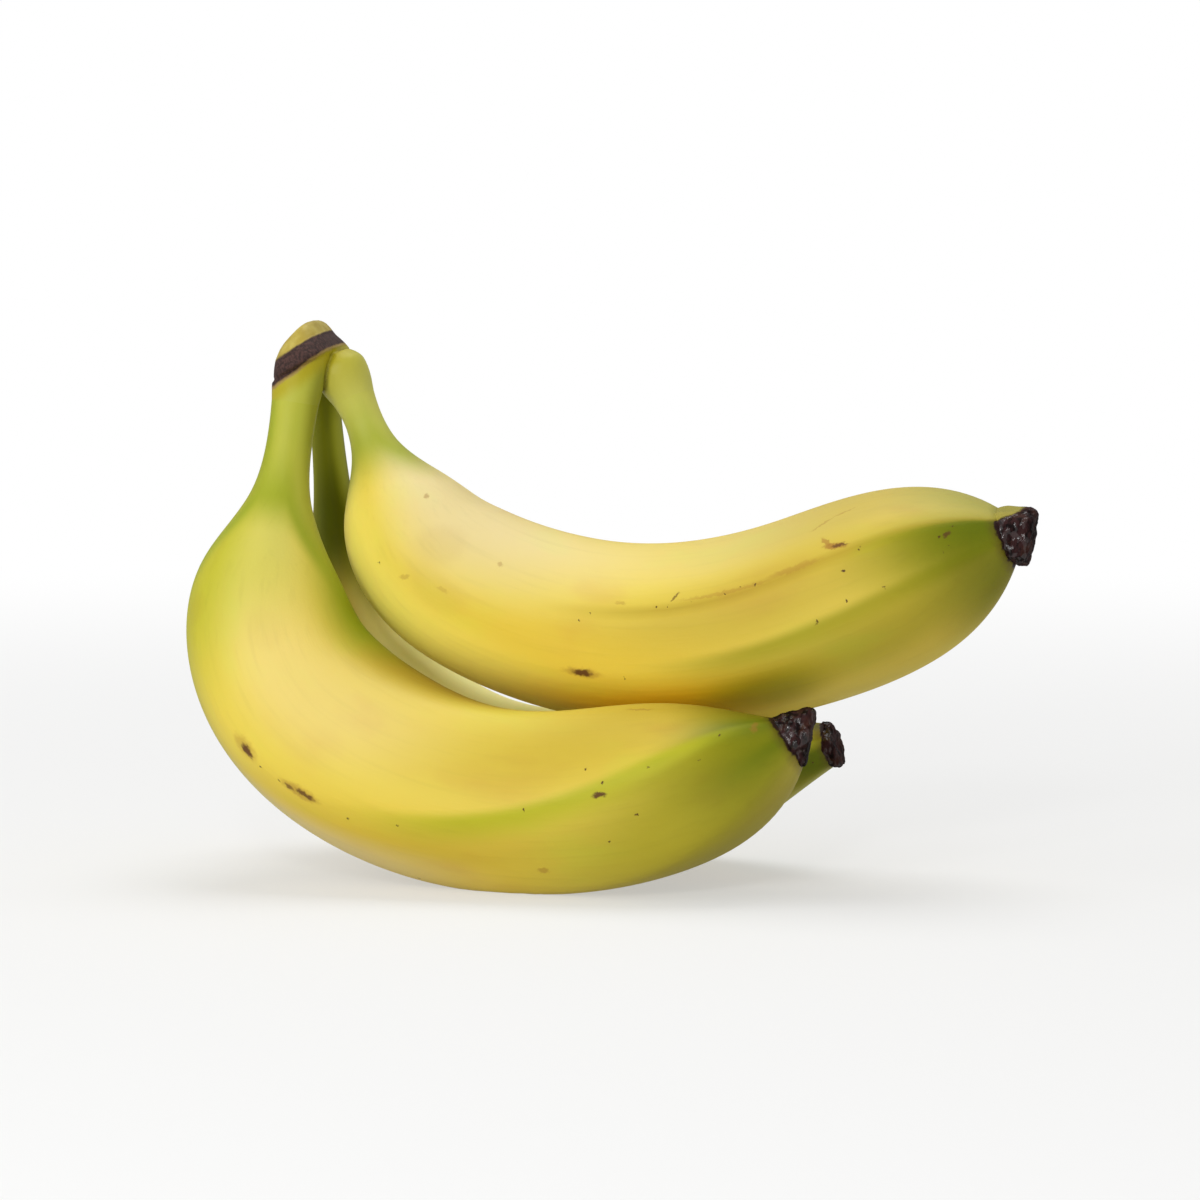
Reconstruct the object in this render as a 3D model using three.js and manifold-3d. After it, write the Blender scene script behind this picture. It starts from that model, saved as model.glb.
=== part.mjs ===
// A bunch of three bananas lying on the outer curves of its two lower fingers.
//
// The crown is at -X, the blossom ends point to +X and Z is up. The front finger is at -Y, the rear finger at +Y,
// and the upper finger rests in the groove between them. All lengths are millimetres, all angles degrees, and the
// origin is on the surface that the bunch lies on, under the middle of the bunch.
import * as THREE from "three";
import { NURBSCurve } from "three/addons/curves/NURBSCurve.js";
import { mergeVertices } from "three/addons/utils/BufferGeometryUtils.js";
import Module from "manifold-3d";

// ---- driving dimensions ----

// Each finger: its spine from the crown to the blossom end, as control points of a smooth curve; its girth as
// [distance along the spine, radius] control points; its five ridges, as angles round the spine measured from the
// front (-Y) towards the outer side of the bend; the turn of those ridges from the neck to the blossom end; and its
// dried blossom end: its length, how much longer its inner side is for each millimetre off the spine, and how far it
// leans to the outer side for each millimetre of its length.
const FINGERS = {
  front: {
    spine: [
      [-63.5, -3.5, 104],
      [-66.5, -5.5, 77],
      [-69.5, -12.5, 59.5],
      [-65, -16.5, 39],
      [-48.5, -17, 24.5],
      [-12, -17, 13],
      [26, -17, 22],
      [37.5, -14.5, 30.5],
    ],
    girth: [[0, 5.6], [22, 3.2], [34, 7.2], [45, 14.8], [59, 17.8], [89, 19.6], [127, 16.6], [162, 18], [177, 5.2]],
    ridges: [45, 118, 190, 262, 332],
    turn: -95,
    blossom: { length: 4.6, slant: 0.65, droop: 0.4 },
  },
  rear: {
    spine: [
      [-64.2, 10, 105],
      [-63, 12, 82],
      [-63, 19.5, 61],
      [-64, 20.5, 38.5],
      [-43.5, 20.5, 18.5],
      [-12, 20.5, 12.5],
      [19.5, 20, 19.3],
      [39.5, 19, 25.5],
    ],
    girth: [
      [0, 3.2], [32, 2.8], [45, 6.4], [56, 12.2], [69, 16.6], [96, 16.8], [136, 15.4], [157, 14.4], [168, 7.8],
      [178, 4.3],
    ],
    ridges: [20, 90, 165, 238, 310],
    turn: -40,
    blossom: { length: 1.7, slant: 0, droop: 0.3 },
  },
  upper: {
    spine: [
      [-59.5, 5.2, 104.5],
      [-53.5, 4, 92],
      [-45.5, 4, 68],
      [-32.5, 4.5, 56],
      [-4.5, 4.5, 46.5],
      [31, 4.5, 49],
      [57, 4.5, 61.7],
      [76.5, 4.5, 69.2],
    ],
    girth: [
      [0, 0], [0, 5.6], [9, 3.9], [22, 3.3], [32, 11.8], [42, 15.2], [55, 17], [84, 17.2], [124, 18.2], [157, 18.2],
      [168, 5.6],
    ],
    ridges: [-8, 26, 108, 190, 270],
    turn: -20,
    blossom: { length: 5.2, slant: 0.4, droop: 0.4 },
  },
};

const RIDGE_HEIGHT = 0.09; // how far a ridge stands over the flats beside it, as a share of the radius
const RIDGE_ROUNDNESS = 0.25; // 0 is a sharp crest
const RIDGES_START = [40, 80]; // the neck is round, and the ridges grow in over this distance along the spine
const RINGS = 36; // cross-sections of a finger
const SIDES_PER_RIDGE = 6;

// The crown: a dried band and the pad above it, tilted, deeper (in Y) than wide. The band flares over the necks.
const CROWN = {
  base: [-63, 2.2, 100.7], // middle of its underside
  tilt: 28, // its left side is the lower one
  lean: 0.14, // its sides lean to +X by this much for each millimetre of height
  depth: 1.85, // how many times deeper it is than wide
  squareness: 3, // 2 is an ellipse in plan
  // [half width, height] from the middle of the underside, over the dried band, to the top of the pad
  profile: [
    [0, 0], [6.6, 0], [6.7, 0.8], [6.1, 2.5], [5.4, 4.1], [5.2, 4.5], [4.8, 5.7], [4.1, 6.7], [1.5, 7.1], [0, 7.1],
  ],
  padSlope: 0.12, // the pad thickens towards +X, by this much of its thickness for each millimetre across
  bandTop: 4.1, // height at which the pad starts
};

// The section of a dried blossom end: a short rugged stub, much the same on every finger.
const BLOSSOM = {
  // [share of the finger's end radius, share of the stub's length]
  profile: [[0, 0], [1, 0], [1.08, 0.2], [1.02, 0.5], [1.04, 0.8], [0.88, 1], [0.5, 0.94], [0, 0.84]],
  ruggedness: 0.07,
  sides: 20,
};

const GAP = 0.3; // kept between pieces that touch

// ---- curves ----

const radians = THREE.MathUtils.degToRad;

// A cubic curve that starts at its first control point, ends at its last and is smooth between them.
function smoothCurve(points) {
  const degree = 3;
  const inner = points.length - degree;
  const knots = points.map((_, i) => Math.max(0, i - degree) / inner);
  for (let i = 0; i <= degree; i++) knots.push(1);
  const curve = new NURBSCurve(degree, knots, points.map((p) => new THREE.Vector3(p[0], p[1], p[2] ?? 0)));
  curve.arcLengthDivisions = 600;
  return curve;
}

// The point, direction and two cross directions at a distance along a spine; past its end it runs on straight.
function frameAt(spine, along) {
  const length = spine.getLength();
  const share = THREE.MathUtils.clamp(along / length, 0, 1);
  const tangent = spine.getTangentAt(share);
  const point = spine.getPointAt(share).addScaledVector(tangent, along - share * length);
  const front = new THREE.Vector3(0, -1, 0);
  front.addScaledVector(tangent, -front.dot(tangent)).normalize();
  const outer = new THREE.Vector3().crossVectors(tangent, front);
  return { point, front, outer };
}

// ---- solids ----

const wasm = await Module();
wasm.setup();

function solidOf(geometry) {
  const bare = geometry.clone();
  bare.deleteAttribute("normal");
  bare.deleteAttribute("uv");
  const merged = mergeVertices(bare, 1e-4);
  return new wasm.Manifold(
    new wasm.Mesh({
      numProp: 3,
      vertProperties: new Float32Array(merged.attributes.position.array),
      triVerts: new Uint32Array(merged.index.array),
    }),
  );
}

function geometryOf(solid) {
  const { vertProperties, triVerts } = solid.getMesh();
  const geometry = new THREE.BufferGeometry();
  geometry.setAttribute("position", new THREE.BufferAttribute(vertProperties, 3));
  geometry.setIndex(new THREE.BufferAttribute(triVerts, 1));
  return geometry;
}

// Turns a straight lathed body, whose axis is its local Y, into its place: place(radius, angle, along) is a point.
function placed(lathe, place) {
  const position = lathe.attributes.position;
  for (let i = 0; i < position.count; i++) {
    const radius = Math.hypot(position.getX(i), position.getZ(i));
    const angle = Math.atan2(position.getX(i), position.getZ(i));
    const { x, y, z } = place(radius, angle, position.getY(i));
    position.setXYZ(i, x, y, z);
  }
  return lathe;
}

// ---- a finger ----

// The radius and the angle of a point on a ridged finger. The lathe's sides are shared out between the ridges, so
// that each ridge is a line of the mesh, and each flat sinks in by the square of its width.
function ridged(finger, radius, angle, along, length) {
  const { ridges, turn } = finger;
  const place = THREE.MathUtils.euclideanModulo(angle / radians(360) * ridges.length + 1e-6, ridges.length);
  const index = Math.floor(place);
  const across = place - index;
  const start = ridges[index];
  const width = THREE.MathUtils.euclideanModulo(ridges[(index + 1) % ridges.length] - start, 360);
  const strength = RIDGE_HEIGHT * THREE.MathUtils.smoothstep(along, ...RIDGES_START);
  const evenWidth = 360 / ridges.length;
  const flat = Math.hypot(Math.sin(Math.PI * across), RIDGE_ROUNDNESS) - RIDGE_ROUNDNESS;
  return {
    radius: radius * (1 + 0.5 * strength - strength * (width / evenWidth) ** 2 * flat),
    angle: radians(start + width * across + turn * (along / length) ** 2),
  };
}

function fingerSolid(finger) {
  const spine = smoothCurve(finger.spine);
  const length = spine.getLength();
  const stretch = length / finger.girth.at(-1)[0];
  const outline = smoothCurve(finger.girth).getPoints(RINGS).map((p) => new THREE.Vector2(p.y, p.x * stretch));
  const ends = [new THREE.Vector2(0, outline[0].y), ...outline, new THREE.Vector2(0, length)];
  const lathe = new THREE.LatheGeometry(ends, finger.ridges.length * SIDES_PER_RIDGE);
  placed(lathe, (latheRadius, latheAngle, along) => {
    const { radius, angle } = ridged(finger, latheRadius, latheAngle, along, length);
    const { point, front, outer } = frameAt(spine, along);
    return point
      .addScaledVector(front, radius * Math.cos(angle))
      .addScaledVector(outer, radius * Math.sin(angle));
  });
  return solidOf(lathe);
}

// ---- a blossom end ----

function blossomSolid(finger, seed) {
  const spine = smoothCurve(finger.spine);
  const { length, slant, droop } = finger.blossom;
  const start = spine.getLength() + GAP;
  const endRadius = finger.girth.at(-1)[1];
  const outline = BLOSSOM.profile.map(([r, h]) => new THREE.Vector2(r * endRadius, h * length));
  const lathe = new THREE.LatheGeometry(outline, BLOSSOM.sides);
  placed(lathe, (latheRadius, angle, height) => {
    const share = height / length;
    const bumps = Math.sin(5 * angle + seed) + 0.6 * Math.sin(8 * angle - 2 * seed + 5 * share);
    const radius = latheRadius * (1 + BLOSSOM.ruggedness * bumps * Math.min(1, 3 * share));
    const outwards = radius * Math.sin(angle);
    const out = height - slant * outwards * share;
    const { point, front, outer } = frameAt(spine, start + out);
    return point
      .addScaledVector(front, radius * Math.cos(angle))
      .addScaledVector(outer, outwards + droop * Math.max(0, out));
  });
  return solidOf(lathe);
}

// ---- the crown ----

// A solid made round the crown's own axis, set into its place.
function onCrown(geometry) {
  const axis = new THREE.Vector3(0, 1, 0);
  const turned = new THREE.Matrix4().makeRotationAxis(axis, radians(-CROWN.tilt));
  return solidOf(geometry.applyMatrix4(turned.setPosition(...CROWN.base)));
}

// clearance makes it larger all round, to cut a neck short of it.
function crownSolid(clearance = 0) {
  const sides = 32;
  const outline = CROWN.profile.map(([r, h], i) => {
    const onTop = i >= CROWN.profile.length / 2;
    return new THREE.Vector2(r === 0 ? 0 : r + clearance, h + (onTop ? clearance : -clearance));
  });
  const lathe = new THREE.LatheGeometry(outline, sides);
  placed(lathe, (radius, angle, height) => {
    const power = 2 / CROWN.squareness;
    const across = radius * Math.sign(Math.sin(angle)) * Math.abs(Math.sin(angle)) ** power;
    const deep = radius * Math.sign(Math.cos(angle)) * Math.abs(Math.cos(angle)) ** power;
    const rise = CROWN.padSlope * across * Math.max(0, height - CROWN.bandTop);
    return new THREE.Vector3(across + CROWN.lean * height, -deep * CROWN.depth, height + rise);
  });
  return onCrown(lathe);
}

// Everything above the crown's underside. The necks of the lower fingers end there.
function aboveCrownBase() {
  const size = 60;
  return onCrown(new THREE.BoxGeometry(size, size, size).translate(0, 0, size / 2 - GAP));
}

// ---- the bunch ----

// Everything below the surface. It cuts the small flat that each lower finger rests on.
function underSurface() {
  const size = 400;
  const block = new THREE.BoxGeometry(size, size, size);
  return solidOf(block.translate(0, 0, -size / 2));
}

const PEEL = { color: 0xdcc45a, roughness: 0.45, metalness: 0 };
const CROWN_SKIN = { color: 0x8f8440, roughness: 0.7, metalness: 0 };
const DRIED = { color: 0x241a18, roughness: 0.4, metalness: 0 };

function piece(name, solid, look) {
  const mesh = new THREE.Mesh(geometryOf(solid), new THREE.MeshStandardMaterial(look));
  mesh.name = name;
  return mesh;
}

const bunch = new THREE.Group();
const surface = underSurface();
const crownRoom = { front: aboveCrownBase(), rear: aboveCrownBase(), upper: crownSolid(GAP) };
bunch.add(piece("crown", crownSolid(), CROWN_SKIN));
Object.entries(FINGERS).forEach(([side, finger], i) => {
  const cut = fingerSolid(finger).subtract(crownRoom[side]).subtract(surface);
  bunch.add(piece(`banana_${side}`, cut, PEEL));
  bunch.add(piece(`blossom_end_${side}`, blossomSolid(finger, 1 + 2 * i), DRIED));
});

export default bunch;
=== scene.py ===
# %% [markdown]
# # A bunch of three bananas
# Three fingers grow from one crown. Two lie on the outer curves of their bends, and the third rests
# in the groove between them. The construction fixes where everything is, and this lesson makes what
# the eye sees: the ridged peel, the fused necks, the crown with its dried band, and the black blossom
# ends. Most lengths are written in millimetres and turned into Blender's metres by MM.

# %% Load the construction
import math

import bpy
import numpy as np
from mathutils import Matrix, Vector
from mathutils.bvhtree import BVHTree
from mathutils.kdtree import KDTree


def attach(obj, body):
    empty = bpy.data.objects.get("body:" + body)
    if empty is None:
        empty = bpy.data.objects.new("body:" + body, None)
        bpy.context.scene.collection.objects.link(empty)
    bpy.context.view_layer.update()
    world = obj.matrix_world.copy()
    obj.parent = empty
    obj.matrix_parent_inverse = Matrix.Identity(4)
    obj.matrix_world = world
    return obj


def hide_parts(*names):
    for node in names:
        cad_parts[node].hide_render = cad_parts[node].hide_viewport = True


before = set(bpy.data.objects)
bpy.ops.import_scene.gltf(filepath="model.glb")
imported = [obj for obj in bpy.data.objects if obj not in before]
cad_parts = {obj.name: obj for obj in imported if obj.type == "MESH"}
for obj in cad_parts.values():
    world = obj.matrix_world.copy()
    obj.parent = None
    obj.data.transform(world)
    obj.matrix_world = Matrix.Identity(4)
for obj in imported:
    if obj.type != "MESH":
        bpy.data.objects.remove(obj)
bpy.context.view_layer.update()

MM = 0.001


def place(x, y, z):
    """A point given in millimetres."""
    return Vector((x, y, z)) * MM


print("nodes:", ", ".join(sorted(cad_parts)))

# %% [markdown]
# ## The camera
# A long lens, low down and a little to the right of the bunch's own front, so that the two near
# fingers overlap the third. It's placed by its angle round the bunch, its height and its distance,
# and turned to look at one point. A long lens keeps the near finger from looking swollen.

# %% Camera
CAMERA_TURN = math.radians(14)
CAMERA_RISE = math.radians(5)
CAMERA_DISTANCE = 0.8
LOOKED_AT = place(-4, 3, 55)
LENS = 121.2

to_camera = Vector((
    math.sin(CAMERA_TURN) * math.cos(CAMERA_RISE),
    -math.cos(CAMERA_TURN) * math.cos(CAMERA_RISE),
    math.sin(CAMERA_RISE),
))
bpy.ops.object.camera_add(location=LOOKED_AT + CAMERA_DISTANCE * to_camera)
camera = bpy.context.object
camera.rotation_euler = to_camera.to_track_quat("Z", "Y").to_euler()
camera.data.lens = LENS
bpy.context.scene.camera = camera
print("camera at", [round(v, 3) for v in camera.location])

# %% [markdown]
# ## The floor and the light
# Fruit for a catalogue lies on white paper under big soft boxes. The floor is one large plane. The
# light is a wide panel in front on the left, a stronger one above, a low one in front that reaches
# under the bends, and a white sky that fills the shadows. Two small bright panels in front put the
# glints on what is wet or hard. The sky and the paper are brighter to the eye than they are as lamps,
# so that they stay white while the underside of the fruit keeps its shade. A material or a sky is a
# tree of nodes, so the first helper adds one node and wires it.

# %% Node helper
def node(tree, kind, inputs=None, **settings):
    """Adds a node, sets it, and gives each input its value or its link."""
    made = tree.nodes.new(kind)
    for name, value in settings.items():
        setattr(made, name, value)
    for key, value in (inputs or {}).items():
        if isinstance(value, bpy.types.NodeSocket):
            tree.links.new(value, made.inputs[key])
        else:
            made.inputs[key].default_value = value
    return made


# %% Floor
# How bright the white is to the eye, and how bright the sky and the paper are as lamps.
WHITE = 1.0
SKY_FILL = 0.47
FLOOR_FILL = 0.42
PAPER_SIZE = 30
PAPER_COLOUR = (0.8, 0.8, 0.79, 1)
# How much of the paper is glow under the bunch. Past the far distance, in metres, all of it is.
PAPER_GLOW = 0.45
PAPER_NEAR = 0.15
PAPER_FAR = 0.8


def white_to_the_eye(tree, lamp_level, seen_level):
    """A brightness that the camera sees as seen_level and the fruit as lamp_level."""
    seen = node(tree, "ShaderNodeLightPath").outputs["Is Camera Ray"]
    inputs = {"A": lamp_level, "B": seen_level, "Factor": seen}
    return node(tree, "ShaderNodeMix", inputs).outputs["Result"]


bpy.ops.object.select_all(action="DESELECT")
bpy.ops.mesh.primitive_plane_add(size=PAPER_SIZE)
floor = bpy.context.object
floor.name = "floor"
paper = bpy.data.materials.new("white_paper")
paper.use_nodes = True
sheet = paper.node_tree
matt = sheet.nodes["Principled BSDF"]
matt.inputs["Base Color"].default_value = PAPER_COLOUR
matt.inputs["Roughness"].default_value = 0.9
matt.inputs["Specular IOR Level"].default_value = 0.1
strength = white_to_the_eye(sheet, FLOOR_FILL, WHITE)
glow = node(sheet, "ShaderNodeEmission", {"Strength": strength})
spot = node(sheet, "ShaderNodeTexCoord").outputs["Object"]
distance = node(sheet, "ShaderNodeVectorMath", {0: spot}, operation="LENGTH").outputs["Value"]
inputs = {"Value": distance, "From Min": PAPER_NEAR, "To Min": PAPER_GLOW, "From Max": PAPER_FAR}
away = node(sheet, "ShaderNodeMapRange", inputs, interpolation_type="SMOOTHSTEP").outputs[0]
join = node(sheet, "ShaderNodeMixShader", {"Fac": away, 1: matt.outputs[0], 2: glow.outputs[0]})
sheet.links.new(join.outputs[0], sheet.nodes["Material Output"].inputs["Surface"])
floor.data.materials.append(paper)
print("paper:", len(sheet.nodes), "nodes")

# %% Light
# The power of each panel in watts. Places and sizes of panels are in metres.
KEY = 3.6
TOP = 8
FRONT = 2.5
SPARK = 1.2
SPARK_SIZE = 0.12


def soft_box(name, where, size, watts):
    """A square panel of light that faces the bunch."""
    bpy.ops.object.light_add(type="AREA", location=where)
    panel = bpy.context.object
    panel.name = name
    panel.rotation_euler = (Vector(where) - LOOKED_AT).to_track_quat("Z", "Y").to_euler()
    panel.data.shape = "SQUARE"
    panel.data.size = size
    panel.data.energy = watts


soft_box("key_panel", (-0.85, -0.7, 0.55), 1.1, KEY)
soft_box("spark_right", (0.1, -0.9, 0.5), SPARK_SIZE, SPARK)
soft_box("spark_left", (-0.35, -0.9, 0.25), SPARK_SIZE, SPARK)
soft_box("front_panel", (-0.2, -1.05, 0.26), 0.5, FRONT)
soft_box("top_panel", (0.05, 0.35, 1.3), 0.9, TOP)

world = bpy.data.worlds.new("white_sky")
world.use_nodes = True
bpy.context.scene.world = world
sky = world.node_tree
backdrop = sky.nodes["Background"]
backdrop.inputs["Color"].default_value = (1, 1, 1, 1)
sky.links.new(white_to_the_eye(sky, SKY_FILL, WHITE), backdrop.inputs["Strength"])
bpy.context.scene.view_settings.view_transform = "Standard"

# %% [markdown]
# ## The dimensions of the fingers
# A banana is a rod with a round neck, a fat five-sided middle and a blunt end, bent along a smooth
# line. So each finger is given by two short curves and five angles: the line that it's bent along,
# its girth along that line, and where its ridges run. Then come how far the ridges have turned at its
# end, and the stub that is left of its flower. These are the construction's own numbers.

# %% Driving dimensions
# spine: (x, y, z) in mm. girth: (along, radius) in mm. ridges and turn: degrees. blossom: its length
# in mm, and how far it slants and droops for each mm across and along.
FINGERS = {
    "front": {
        "spine": [
            (-63.5, -3.5, 104), (-66.5, -5.5, 77), (-69.5, -12.5, 59.5), (-65, -16.5, 39),
            (-48.5, -17, 24.5), (-12, -17, 13), (26, -17, 22), (37.5, -14.5, 30.5),
        ],
        "girth": [
            (0, 5.6), (22, 3.2), (34, 7.2), (45, 14.8), (59, 17.8), (89, 19.6), (127, 16.6),
            (162, 18), (177, 5.2),
        ],
        "ridges": [45, 118, 190, 262, 332],
        "turn": -95,
        "blossom": {"length": 4.6, "slant": 0.65, "droop": 0.4},
    },
    "rear": {
        "spine": [
            (-64.2, 10, 105), (-63, 12, 82), (-63, 19.5, 61), (-64, 20.5, 38.5),
            (-43.5, 20.5, 18.5), (-12, 20.5, 12.5), (19.5, 20, 19.3), (39.5, 19, 25.5),
        ],
        "girth": [
            (0, 3.2), (32, 2.8), (45, 6.4), (56, 12.2), (69, 16.6), (96, 16.8), (136, 15.4),
            (157, 14.4), (168, 7.8), (178, 4.3),
        ],
        "ridges": [20, 90, 165, 238, 310],
        "turn": -40,
        "blossom": {"length": 1.7, "slant": 0, "droop": 0.3},
    },
    "upper": {
        "spine": [
            (-59.5, 5.2, 104.5), (-53.5, 4, 92), (-45.5, 4, 68), (-32.5, 4.5, 56),
            (-4.5, 4.5, 46.5), (31, 4.5, 49), (57, 4.5, 61.7), (76.5, 4.5, 69.2),
        ],
        "girth": [
            (0, 0), (0, 5.6), (9, 3.9), (22, 3.3), (32, 11.8), (42, 15.2), (55, 17), (84, 17.2),
            (124, 18.2), (157, 18.2), (168, 5.6),
        ],
        "ridges": [-8, 26, 108, 190, 270],
        "turn": -20,
        "blossom": {"length": 5.2, "slant": 0.4, "droop": 0.4},
    },
}
print("fingers:", {side: f"{len(f['ridges'])} ridges" for side, f in FINGERS.items()})

# %% [markdown]
# ## Bending a straight body
# The spine is drawn lying on its side, with the bunch's front turned up, because Blender's Curve
# modifier can keep one side of a body facing up all along a bend. Stood up again afterwards, the
# front of every section faces the front, as it does in the construction.


# %% Curves
SPINE_STEPS = 64


def select_only(piece):
    bpy.ops.object.select_all(action="DESELECT")
    piece.select_set(True)
    bpy.context.view_layer.objects.active = piece


def smooth_curve(name, points, steps):
    """A cubic curve that starts and ends at its first and last control points."""
    curve = bpy.data.curves.new(name, "CURVE")
    curve.dimensions = "3D"
    curve.twist_mode = "Z_UP"
    spline = curve.splines.new("NURBS")
    spline.points.add(len(points) - 1)
    for point, (x, y, z) in zip(spline.points, points):
        point.co = (*place(x, y, z), 1)
    spline.order_u = 4
    spline.use_endpoint_u = True
    spline.resolution_u = steps
    drawn = bpy.data.objects.new(name, curve)
    bpy.context.collection.objects.link(drawn)
    return drawn


def lying(points):
    """The same points with the front turned up."""
    return [(x, z, -y) for x, y, z in points]


def bend(body, spine):
    """Lays a straight body, made along X, along a lying spine, and stands it up."""
    bender = body.modifiers.new("bend", "CURVE")
    bender.object = spine
    bender.deform_axis = "POS_X"
    select_only(body)
    bpy.ops.object.modifier_apply(modifier=bender.name)
    body.rotation_euler = (math.pi / 2, 0, 0)
    bpy.ops.object.transform_apply(rotation=True)


spines = {
    side: smooth_curve(f"spine_{side}", lying(finger["spine"]), SPINE_STEPS)
    for side, finger in FINGERS.items()
}
lengths = {side: spine.data.splines[0].calc_length() for side, spine in spines.items()}
print("spine lengths in mm:", {side: round(v / MM, 1) for side, v in lengths.items()})


# %% [markdown]
# ## Turning the body
# A finger starts as its girth curve, spun round a straight axis like wood on a lathe. Then its five
# ridges are raised, each section is turned a little more than the one before, and the body is bent.
# The straight shape and the place between the ridges are stored on the mesh first, because the
# finish reads them.

# %% Lathe
SIDES = 150
STEPS_ALONG = 24
WELD = 0.01 * MM


def lathed(name, outline, sides):
    """Spins an outline of (along, radius) points round the X axis into a closed body."""
    mesh = bpy.data.meshes.new(name)
    body = bpy.data.objects.new(name, mesh)
    bpy.context.collection.objects.link(body)
    mesh.from_pydata([(along, 0, radius) for along, radius in outline],
                     [(i, i + 1) for i in range(len(outline) - 1)], [])
    select_only(body)
    bpy.ops.object.mode_set(mode="EDIT")
    bpy.ops.mesh.select_all(action="SELECT")
    bpy.ops.mesh.spin(steps=sides, angle=2 * math.pi, center=(0, 0, 0), axis=(1, 0, 0))
    bpy.ops.mesh.select_all(action="SELECT")
    bpy.ops.mesh.remove_doubles(threshold=WELD)
    bpy.ops.mesh.normals_make_consistent(inside=False)
    bpy.ops.object.mode_set(mode="OBJECT")
    return body


def drawn_outline(points, steps):
    """The curve that (along, radius) points in mm control, as the points of a line in metres."""
    select_only(smooth_curve("outline", [(along, 0, radius) for along, radius in points], steps))
    bpy.ops.object.convert(target="MESH")
    outline = [(v.co.x, v.co.z) for v in bpy.context.object.data.vertices]
    bpy.data.objects.remove(bpy.context.object)
    return outline


def girth_outline(finger, length):
    """The girth curve, stretched to the spine's length and closed on the axis."""
    stretch = length / MM / finger["girth"][-1][0]
    points = drawn_outline([(x * stretch, r) for x, r in finger["girth"]], STEPS_ALONG)
    ends = [(points[0][0], 0)] if points[0][1] > 0 else []
    return ends + points + [(points[-1][0], 0)]


# %% Arrays
def coordinates(piece):
    """The piece's vertices as an array with a row for each."""
    flat = np.empty(3 * len(piece.data.vertices))
    piece.data.vertices.foreach_get("co", flat)
    return flat.reshape(-1, 3)


def set_coordinates(piece, points):
    piece.data.vertices.foreach_set("co", points.ravel())
    piece.data.update()


def smoothstep(value, low, high):
    share = np.clip((value - low) / (high - low), 0, 1)
    return share * share * (3 - 2 * share)


def turned(angle, start):
    """An angle in degrees measured from start, between -180 and 180."""
    return np.mod(angle - start + 180, 360) - 180


def keep(piece, name, values, kind="FLOAT_VECTOR"):
    """Stores a vector or a colour for each vertex."""
    store = piece.data.attributes.new(name, kind, "POINT")
    field = "color" if kind == "FLOAT_COLOR" else "vector"
    store.data.foreach_set(field, np.ascontiguousarray(values, dtype=np.float32).ravel())


def kept(piece, name):
    """The stored vectors, with a row for each vertex."""
    flat = np.empty(3 * len(piece.data.vertices), np.float32)
    piece.data.attributes[name].data.foreach_get("vector", flat)
    return flat.reshape(-1, 3).astype(float)


# %% Fingers
RIDGE_HEIGHT = 0.09
RIDGE_ROUNDNESS = 0.25
# The ridges rise between these two places along the finger, in mm.
RIDGES_START = (40, 80)
# Keeps a point that lies on a ridge from being counted as just short of it.
ROUNDING = 1e-6


def ridged(points, finger, length):
    """Raises the five ridges. Returns the new points, and the angle of each in degrees before the
    ridges turn."""
    along = points[:, 0]
    radius = np.hypot(points[:, 1], points[:, 2])
    angle = np.arctan2(-points[:, 1], points[:, 2])
    starts = np.radians(finger["ridges"])
    widths = np.mod(np.roll(starts, -1) - starts, 2 * math.pi)
    count = len(starts)
    sector = np.mod(angle / (2 * math.pi) * count + ROUNDING, count)
    index = np.minimum(sector.astype(int), count - 1)
    across = sector - index
    width = widths[index]
    strength = RIDGE_HEIGHT * smoothstep(along / MM, *RIDGES_START)
    flat = np.hypot(np.sin(math.pi * across), RIDGE_ROUNDNESS) - RIDGE_ROUNDNESS
    even = 2 * math.pi / count
    radius = radius * (1 + 0.5 * strength - strength * (width / even) ** 2 * flat)
    around = starts[index] + width * across
    angle = around + math.radians(finger["turn"]) * (along / length) ** 2
    moved = np.column_stack([along, -radius * np.sin(angle), radius * np.cos(angle)])
    return moved, turned(np.degrees(around), 0)


def make_finger(side):
    finger, length = FINGERS[side], lengths[side]
    body = lathed(f"finger_{side}", girth_outline(finger, length), SIDES)
    points, around = ridged(coordinates(body), finger, length)
    set_coordinates(body, points)
    keep(body, "straight", points)
    keep(body, "form", np.column_stack([points[:, 0] / MM, around, np.zeros(len(points))]))
    bend(body, spines[side])
    points = coordinates(body)
    points[:, 2] = np.maximum(points[:, 2], 0)  # flattened where it lies
    set_coordinates(body, points)
    select_only(body)
    bpy.ops.object.shade_smooth()
    return body


fingers = {side: make_finger(side) for side in FINGERS}
for side, body in fingers.items():
    print(side, len(body.data.vertices), "vertices", [round(v / MM, 1) for v in body.dimensions])

# %% [markdown]
# ## The blossom ends
# What is left of the flower is a short, hard, black stub, wrinkled like bark. It's turned on the same
# lathe, pushed about by a few waves round its edge, cut aslant, and bent with the finger. Two
# displacements then wrinkle it: a coarse one for the lumps and a fine one for the pits. On the upper
# finger a lip of peel still reaches over one side of the stub, and there it stays smooth.

# %% Blossom ends
# (share of the length, share of the finger's end radius)
BLOSSOM_OUTLINE = [
    (0, 0.98), (0.08, 1), (0.2, 1.08), (0.5, 1.02), (0.8, 1.05), (1, 0.9), (0.97, 0.5), (0.8, 0),
]
BLOSSOM_SIDES = 110
BLOSSOM_STEPS = 12
BLOSSOM_SINKS = 1.0 * MM
RUGGEDNESS = 0.07
# How far the lip of peel reaches, as a share of the stub's length, and the angle of its side.
PEEL_LIP = {"upper": (0.65, -90)}
NO_LIP = (0, 0)
# (size of the wrinkles, their height, fineness)
WRINKLES = [(2.2 * MM, 0.7 * MM, 1), (0.7 * MM, 0.3 * MM, 2)]


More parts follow.
